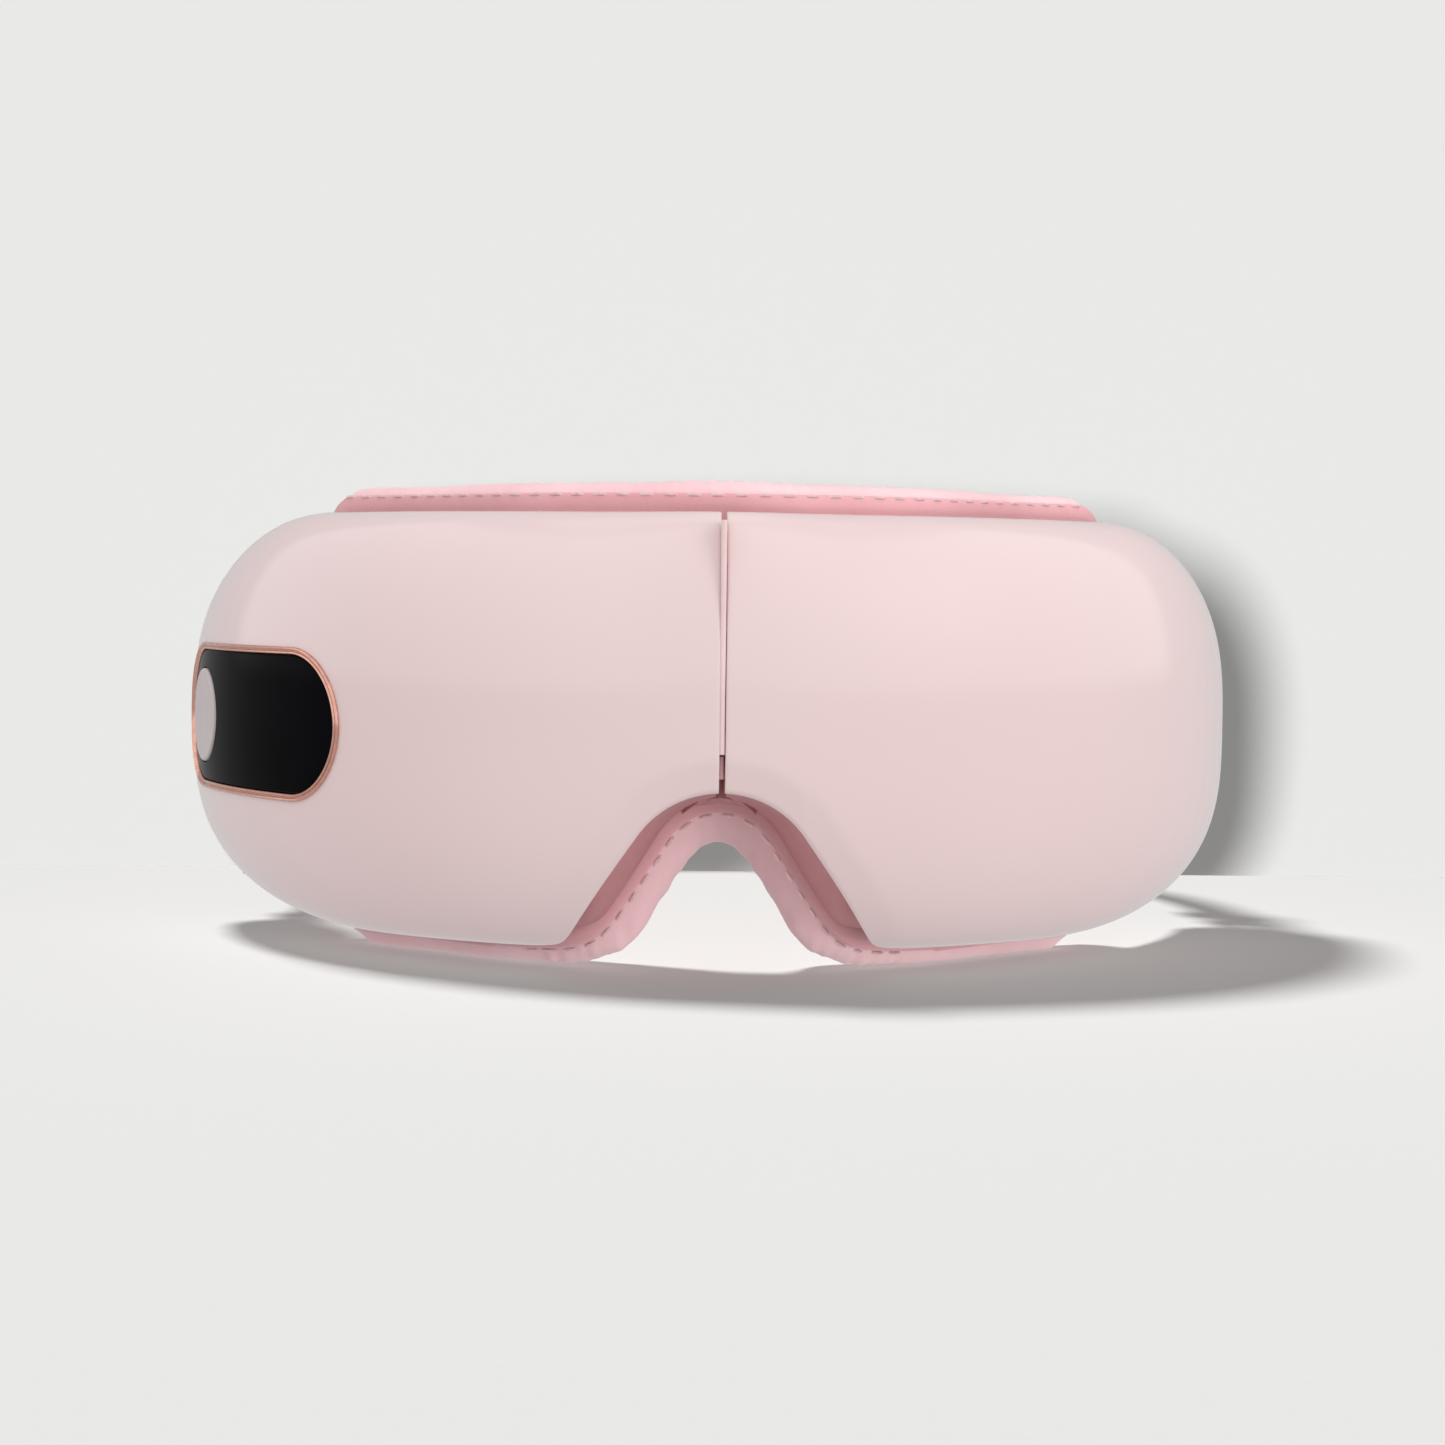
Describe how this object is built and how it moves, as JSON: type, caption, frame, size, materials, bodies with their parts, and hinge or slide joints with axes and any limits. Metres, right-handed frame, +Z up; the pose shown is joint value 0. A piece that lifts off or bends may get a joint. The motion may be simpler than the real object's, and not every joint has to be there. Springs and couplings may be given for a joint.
{
  "type": "eye massager mask",
  "caption": "Foldable eye massager mask: gloss shells on a centre hinge, stitched leather face pads, temple control panel and elastic head strap.",
  "frame": {"origin": "centre of the part in plan, on the surface that the lower edge of the face pads rests on", "axes": "as worn upright: +Z up, -Y out of the front of the mask, +Y towards the back of the head, +X to the right as seen from the front; the fold plane is X = 0"},
  "size_m": [0.2076, 0.2072, 0.0873],
  "materials": {
    "gloss_shell": "high gloss injection moulded shell, pale pink",
    "matte_housing": "fine matte texture, dusty pink",
    "soft_gusset": "soft silicone, dusty pink",
    "face_leather": "soft stitched synthetic leather, pale pink",
    "rose_gold": "polished rose gold plating",
    "panel_black": "gloss black window",
    "button_pink": "satin pale pink grey",
    "steel": "bright",
    "weight_metal": "sintered, dull",
    "board_green": "solder mask",
    "black_plastic": "moulded",
    "battery_foil": "foil pouch",
    "heating_copper": "printed polyimide film",
    "clear_rubber": "translucent silicone",
    "strap_webbing": "ribbed elastic webbing, dusty pink"
  },
  "bodies": {
    "right_half": {"front_shell_right": "gloss_shell", "rear_housing_right": "matte_housing", "housing_screw_right_1": "steel", "housing_screw_right_2": "steel", "housing_screw_right_3": "steel", "housing_screw_right_4": "steel", "battery": "battery_foil", "air_pump_motor": "steel", "air_pump_head": "black_plastic", "air_valve": "black_plastic", "speaker_right": "black_plastic", "vibration_motor_right": "steel", "air_hose_right": "clear_rubber", "air_hose_crossover": "clear_rubber", "hinge_leaf_right": "matte_housing", "hinge_pin": "steel", "pad_frame_right": "matte_housing", "face_pad_right": "face_leather", "nose_bridge_pad": "face_leather", "bridge_gusset": "soft_gusset", "air_cell_right": "clear_rubber", "temple_pad_right": "face_leather", "strap_anchor_right": "matte_housing"},
    "left_half": {"front_shell_left": "gloss_shell", "rear_housing_left": "matte_housing", "housing_screw_left_1": "steel", "housing_screw_left_2": "steel", "housing_screw_left_3": "steel", "housing_screw_left_4": "steel", "bezel_ring": "rose_gold", "control_panel": "panel_black", "tact_switch": "black_plastic", "button_board": "board_green", "charge_port": "steel", "main_board": "board_green", "radio_module": "steel", "speaker_left": "black_plastic", "vibration_motor_left": "steel", "air_hose_left": "clear_rubber", "hinge_leaf_left": "matte_housing", "pad_frame_left": "matte_housing", "face_pad_left": "face_leather", "air_cell_left": "clear_rubber", "temple_pad_left": "face_leather", "strap_anchor_left": "matte_housing"},
    "power_button": {"power_button": "button_pink"},
    "eye_massager_left": {"eye_cushion_left": "face_leather", "massage_plate_left": "black_plastic", "heating_film_left": "heating_copper"},
    "eye_massager_right": {"eye_cushion_right": "face_leather", "massage_plate_right": "black_plastic", "heating_film_right": "heating_copper"},
    "eccentric_weight_left": {"eccentric_weight_left": "weight_metal"},
    "eccentric_weight_right": {"eccentric_weight_right": "weight_metal"},
    "strap_left": {"strap_left": "strap_webbing"},
    "strap_right": {"strap_right": "strap_webbing", "strap_buckle": "matte_housing"},
    "strap_keeper": {"strap_keeper": "matte_housing"}
  },
  "joints": [
    {"name": "centre_fold", "type": "hinge", "parent": "right_half", "child": "left_half", "pos_m": [0, -0.09612, 0.042], "axis": [0, 0, -1], "range_deg": [0, 75], "deforming": ["nose_bridge_pad", "bridge_gusset", "air_hose_crossover"]},
    {"name": "power_button_press", "type": "slide", "parent": "left_half", "child": "power_button", "axis": [0.9348, 0.3552, 0], "range_m": [0, 0.0008], "stiffness_N_per_m": 1200},
    {"name": "eye_press_left", "type": "slide", "parent": "left_half", "child": "eye_massager_left", "axis": [0.4006, 0.9163, 0], "range_m": [0, 0.003], "stiffness_N_per_m": 500},
    {"name": "eye_press_right", "type": "slide", "parent": "right_half", "child": "eye_massager_right", "axis": [-0.4006, 0.9163, 0], "range_m": [0, 0.003], "stiffness_N_per_m": 500},
    {"name": "weight_spin_left", "type": "hinge", "parent": "left_half", "child": "eccentric_weight_left", "pos_m": [-0.0473, -0.08255, 0.032], "axis": [0, 0, 1], "continuous": true},
    {"name": "weight_spin_right", "type": "hinge", "parent": "right_half", "child": "eccentric_weight_right", "pos_m": [0.0473, -0.08255, 0.032], "axis": [0, 0, 1], "continuous": true},
    {"name": "strap_swing_left", "type": "hinge", "parent": "left_half", "child": "strap_left", "pos_m": [-0.09389, 0.0017, 0.042], "axis": [0, 0, 1], "range_deg": [0, 75]},
    {"name": "strap_swing_right", "type": "hinge", "parent": "right_half", "child": "strap_right", "pos_m": [0.09389, 0.0017, 0.042], "axis": [0, 0, -1], "range_deg": [0, 75]},
    {"name": "strap_keeper_slide", "type": "slide", "parent": "strap_right", "child": "strap_keeper", "axis": [-0.1113, 0.9938, 0], "range_m": [0, 0.006]}
  ],
  "couplings": [
    {"joint": "strap_swing_left", "follows": "centre_fold", "ratio": 1},
    {"joint": "strap_swing_right", "follows": "centre_fold", "ratio": 1}
  ]
}
